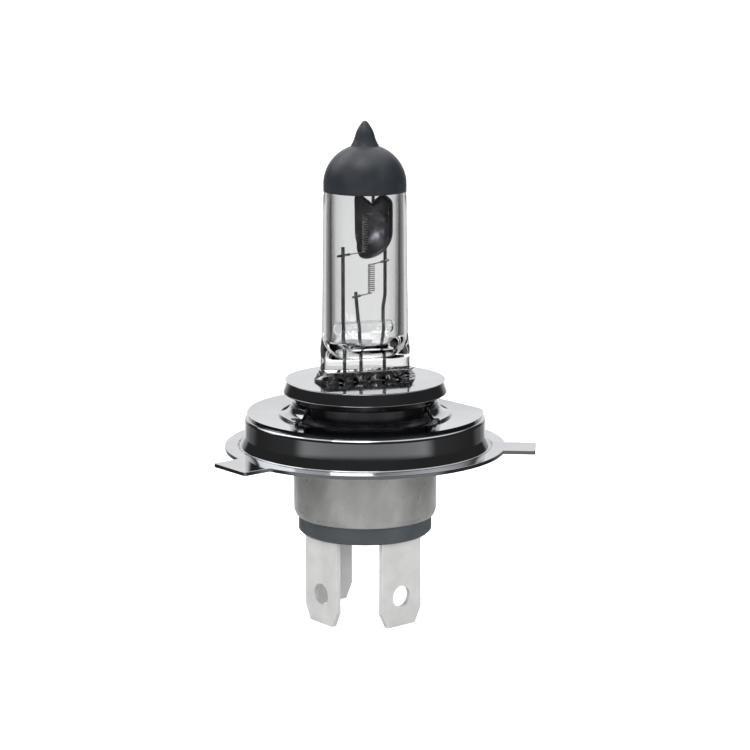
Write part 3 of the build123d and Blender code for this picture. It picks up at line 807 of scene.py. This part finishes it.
def shield_mesh():
    """The cup row by row from its pole up, then the little strap above the notch."""
    across = 48
    rows_at = [SHIELD_BOTTOM + SHIELD_RADIUS * (1 - cos(pi / 2 * i / 18)) for i in range(19)]
    rows_at += levels(SHIELD_TURN, SHIELD_TOP, 16)[1:]
    build = bmesh.new()
    rows = []
    for z in rows_at:
        radius = SHIELD_RADIUS - SHIELD_SHEET / 2
        if z < SHIELD_TURN:
            radius = sqrt(max(SHIELD_RADIUS ** 2 - (SHIELD_TURN - z) ** 2, 0.0004)) - SHIELD_SHEET / 2
        radius = max(radius, NO_RADIUS)
        rise, inward = DRAWN_IN
        radius -= inward * (max(z - (SHIELD_TOP - rise), 0) / rise) ** 2
        start = asin(max(min(between(SHIELD_EDGE, z) / radius, 1), -1))
        half, depth = NOTCH
        wide, raised = DIMPLE
        row = []
        for turn in levels(start, pi - start, across):
            notch = depth * max(0, 1 - abs(turn - NOTCH_TURN) * radius / half)
            top = z - notch * ease((z - (SHIELD_TOP - NOTCH_BLEND)) / NOTCH_BLEND)
            press = 0
            for spot, at in DIMPLES:
                gap = hypot((turn - radians(spot)) * radius, z - at)
                press += raised * max(0, 1 - (gap / wide) ** 2)
            out = (radius + press) * MM
            row.append(build.verts.new((out * cos(turn), out * sin(turn), top * MM)))
        rows.append(row)
    for low, high in zip(rows, rows[1:]):
        for i in range(across):
            build.faces.new((low[i], low[i + 1], high[i + 1], high[i]))
    bmesh.ops.remove_doubles(build, verts=build.verts, dist=1e-6)
    strap_out = (SHIELD_RADIUS - SHIELD_SHEET / 2) * MM
    strap_half = STRAP_HALF * MM
    out = Vector((cos(NOTCH_TURN), sin(NOTCH_TURN), 0))
    aside = Vector((-out.y, out.x, 0))
    sides = []
    for z in levels(SHIELD_TOP - NOTCH[1] - STRAP_LAP, STRAP_TOP, 4):
        centre = out * strap_out + Vector((0, 0, z * MM))
        sides.append([build.verts.new(centre + aside * side) for side in (-strap_half, strap_half)])
    for low, high in zip(sides, sides[1:]):
        build.faces.new((low[0], low[1], high[1], high[0]))
    bmesh.ops.recalc_face_normals(build, faces=build.faces)
    return mesh_from(build, "dip_shield_cup")


shield = piece(shield_mesh(), shield_steel, "shield_steel", "dip_shield", weigh=False)
thick = shield.modifiers.new("sheet", "SOLIDIFY")
thick.thickness = SHIELD_SHEET * MM
thick.offset = 0
edge = shield.modifiers.new("edges", "BEVEL")
edge.width = 0.05 * MM
edge.segments = 2
edge.limit_method = "ANGLE"
edge.angle_limit = radians(40)

# %% [markdown]
# ## Sheet parts
# Clips, blades and the brim of the ring are stamped from strip. A flat curve is the closest thing
# to a stamping: it has an outline and holes, it fills itself, and its bevel breaks the cut edges.

# %% Stamping helper
def circle_line(x, y, radius, count=48):
    """A circle on a flat sheet."""
    turns = [2 * pi * i / count for i in range(count)]
    return [(x + radius * cos(turn), y + radius * sin(turn)) for turn in turns]


def stamped(name, outlines, sheet, edge_size, place):
    """A flat sheet, centred on its own plane, with the first outline filled and the others cut out."""
    line = bpy.data.curves.new(name, "CURVE")
    line.dimensions = "2D"
    line.fill_mode = "BOTH"
    line.bevel_depth = edge_size * MM
    line.bevel_resolution = 2
    line.offset = -edge_size * MM
    line.extrude = (sheet / 2 - edge_size) * MM
    for outline in outlines:
        spline = line.splines.new("POLY")
        spline.points.add(len(outline) - 1)
        for control, (x, y) in zip(spline.points, outline):
            control.co = (x * MM, y * MM, 0, 1)
        spline.use_cyclic_u = True
    mesh = mesh_of_curve(name, line)
    welded = bmesh.new()
    welded.from_mesh(mesh)
    bmesh.ops.remove_doubles(welded, verts=welded.verts, dist=1e-7)
    bmesh.ops.recalc_face_normals(welded, faces=welded.faces)
    for face in welded.faces:
        face.smooth = abs(face.normal.z) < 0.999
    welded.to_mesh(mesh)
    welded.free()
    mesh.transform(place)
    return mesh


def upright(x, y, z, turn):
    """Stands a flat sheet up, its face toward a compass turn, and carries it to a point in millimetres."""
    return (Matrix.Rotation(turn, 4, "Z") @ Matrix.Translation(Vector((x, y, z)) * MM)
            @ Matrix.Rotation(pi / 2, 4, "X"))


# %% Pinch clips
clip_steel = new_finish("clip_steel", Metallic=1.0)
tint(clip_steel, 1.0, (0.30, 0.30, 0.31), (0.72, 0.72, 0.72), 4.0)
roughen(clip_steel, 0.7, 0.16, 0.34)
CLIP_SHEET = 0.35
CLIP_HALF = 7.9
CLIP_LOW, CLIP_HIGH = heights("pinch_clip_front")
CLIP_EAR = 1.3
CLIP_EAR_TIP = 0.3
CLIP_FOOT = 1.4
CLIP_WINDOW = 0.42          # half of the width of a gap
CLIP_GAP = 0.7
CLIP_WINDOWS = 5


def clip_mesh(name, side):
    """A strip on its edge with gaps along its foot, short tabs on the disc, and ears that close in."""
    rise = CLIP_HIGH - CLIP_LOW
    shoulder = CLIP_HALF - CLIP_EAR
    gap = 2 * shoulder / (CLIP_WINDOWS + 1)
    corners = [(-CLIP_HALF, 0)]
    for number in range(1, CLIP_WINDOWS + 1):
        x = gap * number - shoulder
        corners += [(x - CLIP_WINDOW, 0), (x - CLIP_WINDOW, CLIP_GAP, 0.08),
                    (x + CLIP_WINDOW, CLIP_GAP, 0.08), (x + CLIP_WINDOW, 0)]
    corners += [(CLIP_HALF, 0), (CLIP_HALF, CLIP_EAR_TIP, 0.08), (shoulder, rise, 0.25),
                (-shoulder, rise, 0.25), (-CLIP_HALF, CLIP_EAR_TIP, 0.08)]
    y = side * (PINCH_HALF + 0.01 + CLIP_SHEET / 2)
    meshes = [stamped(name, [softened(corners, 3)], CLIP_SHEET, 0.05, upright(0, y, CLIP_LOW, 0))]
    level_place = Matrix.Translation((0, 0, (CLIP_LOW + CLIP_SHEET / 2) * MM))
    tab_half = gap / 2 - CLIP_WINDOW
    y_low = y + side * (CLIP_FOOT - CLIP_SHEET) / 2 - CLIP_FOOT / 2
    for number in range(CLIP_WINDOWS + 1):
        x = gap * (number + 0.5) - shoulder
        tab = softened([(x - tab_half, y_low, 0.15), (x + tab_half, y_low, 0.15),
                        (x + tab_half, y_low + CLIP_FOOT, 0.15), (x - tab_half, y_low + CLIP_FOOT, 0.15)], 4)
        meshes.append(stamped(f"{name}_{number}", [tab], CLIP_SHEET, 0.05, level_place))
    mesh = joined(name, meshes)
    for vertex in mesh.vertices:
        past = abs(vertex.co.x) / MM - shoulder
        vertex.co.y *= 1 - 0.85 * ease(past / CLIP_EAR)
    mesh.transform(burner_turn)
    return mesh


for name, side in (("pinch_clip_front", -1), ("pinch_clip_rear", 1)):
    piece(clip_mesh(name + "_strip", side), clip_steel, "clip_steel", name)

# %% [markdown]
# ## Bright plating
# The disc and the focus ring are pressed from sheet and plated until they mirror the room. Plating
# follows the sheet's skin, so it is a touch cloudy and dips slightly near its edges. The metal is
# darker than silver: a mid grey that turns almost white where it is seen at a flat angle. Round the
# neck between disc and sleeve the plate is painted nearly black: a painted shade for the dark room
# that part mirrors.

# %% Plated finish
bright_plate = new_finish("bright_plate", Metallic=1.0)
tint(bright_plate, 6.0, (0.50, 0.51, 0.53), (0.58, 0.59, 0.61), 4.0)
roughen(bright_plate, 3.0, 0.05, 0.10)
bump(bright_plate, 5.0, 0.03, 0.12, 1.0)

# Painted shade: a near-black plate for the neck between disc and sleeve, standing in for the dark room it
# mirrors
painted_neck_shade = new_finish("painted_neck_shade_plate", Metallic=1.0)
tint(painted_neck_shade, 3.0, (0.07, 0.072, 0.08), (0.16, 0.162, 0.175), 4.0)
roughen(painted_neck_shade, 2.0, 0.10, 0.22)
bump(painted_neck_shade, 2.5, 0.03, 0.2, 2.0)

# %% Burner disc
SKIRT_BOTTOM, DISC_TOP = heights("burner_disc")
DISC_RADIUS = extent("burner_disc")[1].x
NECK_RADIUS = 10.8
SLEEVE_BOTTOM, SLEEVE_TOP = heights("base_sleeve")
SKIRT_RADIUS = 10.5
DISC_SHEET = 0.5
DISC_INNER = 9.0            # where the flat rings round the slot give way to circles
SKIRT_BORE = 10.0
RIM_BORE = 11.95
SLOT = (7.05, 1.95)


def slot_ring(grow, z):
    """The slot that the pinch stands in, with its edge moved outward by a little."""
    return pressed_ring(SLOT[0] + grow, SLOT[1] + grow, z, 8, BURNER_TURN)


def disc_skin():
    """From the slot out over the rim, round the skirt and back up under the lid."""
    rim = softened([(DISC_INNER, DISC_TOP), (DISC_RADIUS, DISC_TOP, 0.28),
                    (DISC_RADIUS, DISC_TOP - 2.0, 0.25), (11.6, DISC_TOP - 2.15, 0.12),
                    (NECK_RADIUS + 0.02, SLEEVE_TOP + 0.02, 0.05), (SKIRT_RADIUS, SLEEVE_TOP + 0.02),
                    (SKIRT_RADIUS, SKIRT_BOTTOM), (SKIRT_BORE, SKIRT_BOTTOM),
                    (SKIRT_BORE, SLEEVE_TOP + 0.55), (11.4, DISC_TOP - 1.6, 0.2),
                    (RIM_BORE, DISC_TOP - 1.3, 0.2), (RIM_BORE, DISC_TOP - DISC_SHEET, 0.2),
                    (DISC_INNER, DISC_TOP - DISC_SHEET)], 6)
    steps = (0, DISC_SHEET), (0, 0.12), (0.04, 0.03), (0.13, 0)
    rings = [slot_ring(grow, DISC_TOP - below) for grow, below in steps]
    rings += [ring(radius, z) for radius, z in rim]
    return skin(rings, joined=True)


def repaint(made, finish, low, high):
    """A second finish on the faces whose centre lies between two heights."""
    made.data.materials.append(finish)
    for face in made.data.polygons:
        if low * MM < face.center.z < high * MM:
            face.material_index = 1


lid_piece = piece(mesh_of("burner_disc_lid", [disc_skin()]), bright_plate, "bright_steel", "burner_disc")
# The disc's underside round the neck is painted nearly black: painted shade, not the metal's own colour
repaint(lid_piece, painted_neck_shade, SLEEVE_TOP - 0.1, DISC_TOP - 1.9)

# %% [markdown]
# ## Focus ring
# The ring is one pressing: a hat with one straight side, a flat brim that seats in the reflector,
# three lugs that fit only one way round, and three tongues that are welded to the neck. The hat is
# a skin of rings with their +Y side pressed flat, the brim is a stamping, and each tongue is a
# strip swept up from the edge of the hat's hole. All of it joins into one piece.

# %% Hat
SHEET = 0.6
HAT_RADIUS = 19.0
HAT_TOP = 5.1
HAT_FLAT = 15.8
HAT_HOLE = 12.9
BRIM_RADIUS = 21.5


def hat_ring(radius, z):
    """A circle that is cut straight on its +Y side, unless it lies well inside the hat."""
    limit = radius - (HAT_RADIUS - HAT_FLAT) if radius > HAT_HOLE + 3 else 2 * HAT_RADIUS
    points = []
    for x, y, height in ring(radius, z):
        blend = max(0.5 - abs(y - limit), 0) / 0.5
        points.append((x, min(y, limit) - blend * blend * 0.125, height))
    return points


def hat_skin():
    line = softened([(HAT_HOLE, HAT_TOP, 0.18), (HAT_RADIUS, HAT_TOP, 0.95), (HAT_RADIUS, 0, 0.2),
                     (HAT_RADIUS + 0.5, 0), (HAT_RADIUS + 0.5, -0.3), (HAT_RADIUS - SHEET, -0.3),
                     (HAT_RADIUS - SHEET, HAT_TOP - SHEET, 0.65), (HAT_HOLE, HAT_TOP - SHEET, 0.1)], 8)
    return skin([hat_ring(radius, z) for radius, z in line], joined=True)


# %% Brim with its lugs, each as (angle, width, reach)
LUGS = [(45, 6.0, 26.1), (135, 6.0, 26.1), (270, 7.8, 25.7)]


def brim_outline():
    """Round the brim anticlockwise, with a step out and back in at each lug."""
    points = []
    for number, (angle, width, reach) in enumerate(LUGS):
        half = asin(width / 2 / BRIM_RADIUS)
        out = Vector((cos(radians(angle)), sin(radians(angle))))
        aside = Vector((-out.y, out.x)) * width / 2
        root = out * BRIM_RADIUS * cos(half)
        lug = softened([(*(root * 0.9 - aside), 0), (*(root - aside), 0.25),
                        (*(out * reach - aside), 0.4), (*(out * reach + aside), 0.4),
                        (*(root + aside), 0.25), (*(root * 0.9 + aside), 0)], 4)
        points += lug[1:-1]
        next_angle, next_width, _ = LUGS[(number + 1) % len(LUGS)]
        next_angle += 360 if next_angle < angle else 0
        first = radians(angle) + half
        last = radians(next_angle) - asin(next_width / 2 / BRIM_RADIUS)
        for turn in levels(first, last, 64)[1:-1]:
            points.append((BRIM_RADIUS * cos(turn), BRIM_RADIUS * sin(turn)))
    return points


def brim_mesh():
    inside = [(x, y) for x, y, z in hat_ring(HAT_RADIUS - SHEET, 0)]
    return stamped("brim", [brim_outline(), inside], SHEET, 0.08, Matrix.Translation((0, 0, -SHEET / 2 * MM)))


# %% Tongues
TONGUES = (38, 142, 250)
TONGUE_SPAN = 38
TONGUE_SHEET = 0.45
TONGUE_TOP = 6.8


def tongue_skin(angle):
    """A strip that rises from the hole's edge in an arc and lies along the neck."""
    inside = NECK_RADIUS + 0.02
    outside = inside + TONGUE_SHEET
    bend = HAT_HOLE - outside
    line = [(HAT_HOLE + 0.3, HAT_TOP - 0.02)]
    for turn in levels(0, pi / 2, 8):
        line.append((HAT_HOLE - bend * sin(turn), HAT_TOP - 0.02 + bend * (1 - cos(turn))))
    line += [(outside, TONGUE_TOP - 0.1), (outside - 0.1, TONGUE_TOP), (inside, TONGUE_TOP)]
    low = bend + TONGUE_SHEET
    for turn in levels(pi / 2, 0, 8):
        line.append((HAT_HOLE - low * sin(turn), HAT_TOP - TONGUE_SHEET + low * (1 - cos(turn))))
    line.append((HAT_HOLE + 0.3, HAT_TOP - TONGUE_SHEET))
    rings = []
    for turn in levels(radians(angle - TONGUE_SPAN / 2), radians(angle + TONGUE_SPAN / 2), 24):
        rings.append([(radius * cos(turn), radius * sin(turn), z) for radius, z in line])
    return skin(rings)


hat_mesh = mesh_of("hat", [hat_skin()] + [tongue_skin(angle) for angle in TONGUES])
ring_mesh = joined("focus_ring_pressing", [hat_mesh, brim_mesh()])
piece(ring_mesh, bright_plate, "bright_steel", "focus_ring")

# %% [markdown]
# ## Base sleeve
# The sleeve is a drawn steel tube, left satin. It carries drawing marks, small pits and a few
# scratches, and its lower end is rolled in over the insulator. It is turned in one closed outline.

# %% Sleeve
satin_steel = new_finish("satin_steel", Metallic=0.85)
tint(satin_steel, 2.2, (0.62, 0.62, 0.61), (0.78, 0.78, 0.77), 6.0, (1, 1, 0.6))
roughen(satin_steel, 0.8, 0.26, 0.42, 4.0, (1, 1, 0.3))
bump(satin_steel, 0.5, 0.015, 0.3, 4.0, (1, 1, 0.25))
bump(satin_steel, 5.0, 0.06, 0.25, 2.0, (1, 1, 0.4))
SLEEVE_RADIUS = extent("base_sleeve")[1].x
SLEEVE_WALL = 0.45
NECK_BOTTOM = 4.25
ROLL_BORE = 10.28           # the opening that the rolled lower edge leaves


def sleeve_outline():
    bore = SLEEVE_RADIUS - SLEEVE_WALL
    roll = SLEEVE_BOTTOM + SLEEVE_WALL
    return softened([(NECK_RADIUS, SLEEVE_TOP, 0.08), (NECK_RADIUS, NECK_BOTTOM + 0.05, 0.05),
                     (SLEEVE_RADIUS, NECK_BOTTOM - 0.05, 0.05), (SLEEVE_RADIUS, SLEEVE_BOTTOM + 1.0, 0.5),
                     (SLEEVE_RADIUS - 0.28, SLEEVE_BOTTOM + 0.12, 0.3), (ROLL_BORE, SLEEVE_BOTTOM, 0.1),
                     (ROLL_BORE, roll), (bore, roll), (bore, SLEEVE_TOP)], 6)


sleeve_mesh = mesh_of("base_sleeve_tube", [turned(sleeve_outline())])
sleeve = piece(sleeve_mesh, satin_steel, "satin_steel", "base_sleeve")
# The sleeve's neck above NECK_BOTTOM gets the same painted shade, nearly black
repaint(sleeve, painted_neck_shade, NECK_BOTTOM, SLEEVE_TOP + 1)

# %% [markdown]
# ## Insulator
# A plug of dark heat-proof plastic closes the sleeve and holds the three blades. Moulded plastic is
# never quite even: it has faint flow clouds and a fine dull skin. The plug is turned, with a
# chamfer below and a round recess in its middle.

# %% Insulator
dark_plastic = new_finish("dark_plastic", Specular_IOR_Level=0.5)
tint(dark_plastic, 4.0, (0.030, 0.035, 0.039), (0.042, 0.048, 0.053), 5.0)
roughen(dark_plastic, 1.0, 0.42, 0.56)
bump(dark_plastic, 0.25, 0.012, 0.4, 3.0)
PLUG_RADIUS = 10.24
PLUG_BOTTOM, PLUG_TOP = heights("insulator")
RECESS = 4.6
RECESS_DEPTH = 1.2


def plug_outline():
    shelf = SLEEVE_BOTTOM + SLEEVE_WALL + 0.02
    ceiling = PLUG_BOTTOM + RECESS_DEPTH
    return softened([(0.01, PLUG_TOP), (SKIRT_RADIUS, PLUG_TOP, 0.2), (SKIRT_RADIUS, shelf),
                     (PLUG_RADIUS, shelf), (PLUG_RADIUS, PLUG_BOTTOM + 0.4, 0.12),
                     (PLUG_RADIUS - 0.4, PLUG_BOTTOM, 0.12), (RECESS, PLUG_BOTTOM, 0.15),
                     (RECESS - 0.1, ceiling, 0.25), (0.01, ceiling)], 4)


piece(mesh_of("insulator_plug", [turned(plug_outline())]), dark_plastic, "insulator_plastic", "insulator")

# %% [markdown]
# ## Blades
# The three blades are stamped from brass strip and tinned, which leaves them pale and soft with the
# faintest lines along the strip. Each has a cropped tip and a round hole for the plug's catch.

# %% Blades
tinned_brass = new_finish("tinned_brass", Metallic=0.5)
tint(tinned_brass, 3.0, (0.54, 0.54, 0.535), (0.62, 0.62, 0.615), 5.0)
roughen(tinned_brass, 1.5, 0.34, 0.48, 4.0, (1, 1, 0.2))
bump(tinned_brass, 0.35, 0.01, 0.35, 3.0, (1, 1, 0.08))
BLADE_TIP, TAIL_TOP = heights("common_terminal")
BLADE_SHEET = 0.8
BLADE_HALF = 3.85
BLADE_OFFSET = 8.35
BLADE_ROOT = -6.6
CONTACTS = [("common", COMMON_X, 0), ("main", MAIN_X, pi), ("dip", DIP_X, -pi / 2)]
CROP = (1.15, 2.4)          # how far each corner of the tip is cut, across and along
TAIL_HALF = 1.3
HOLE_Z = BLADE_TIP + 4.6
HOLE_RADIUS = 1.65


def blade_mesh(name, turn):
    half = [(BLADE_HALF - CROP[0], BLADE_TIP, 0.2), (BLADE_HALF, BLADE_TIP + CROP[1], 0.3),
            (BLADE_HALF, BLADE_ROOT, 0.3), (TAIL_HALF, BLADE_ROOT, 0.2), (TAIL_HALF, TAIL_TOP, 0.2)]
    outline = softened([(-x, z, rounding) for x, z, rounding in half[:1]] + half
                       + [(-x, z, rounding) for x, z, rounding in half[:0:-1]], 3)
    stand = upright(0, -BLADE_OFFSET, 0, turn + pi / 2)
    return stamped(name, [outline, circle_line(0, HOLE_Z, HOLE_RADIUS)], BLADE_SHEET, 0.09, stand)


for name, lead_x, turn in CONTACTS:
    mesh = blade_mesh(name + "_terminal_blade", turn)
    piece(mesh, tinned_brass, "terminal_metal", name + "_terminal")

# %% Tail wires
nickel_wire = new_finish("nickel_wire", Metallic=1.0)
tint(nickel_wire, 0.8, (0.45, 0.44, 0.42), (0.62, 0.61, 0.58), 3.0)
roughen(nickel_wire, 0.5, 0.25, 0.4)
TAIL_RADIUS = 0.35


def tail_points(lead_x, turn):
    """From beside a lead's lower end, out and down to the inner face of a blade's tail."""
    start = burner_turn @ Vector((lead_x, -(LEAD_RADIUS + TAIL_RADIUS + 0.01), 0))
    reach = BLADE_OFFSET - BLADE_SHEET / 2 - TAIL_RADIUS - 0.01
    end = Vector((reach * cos(turn), reach * sin(turn), 0))
    return [(start.x, start.y, 2.9), (start.x, start.y, 0.6), (start.x, start.y, -0.4),
            (end.x, end.y, -2.2), (end.x, end.y, -3.4), (end.x, end.y, -5.4)]


for name, lead_x, turn in CONTACTS:
    mesh = wire_mesh(name + "_tail", tail_points(lead_x, turn), TAIL_RADIUS)
    piece(mesh, nickel_wire, "nickel_wire", name + "_tail_wire")
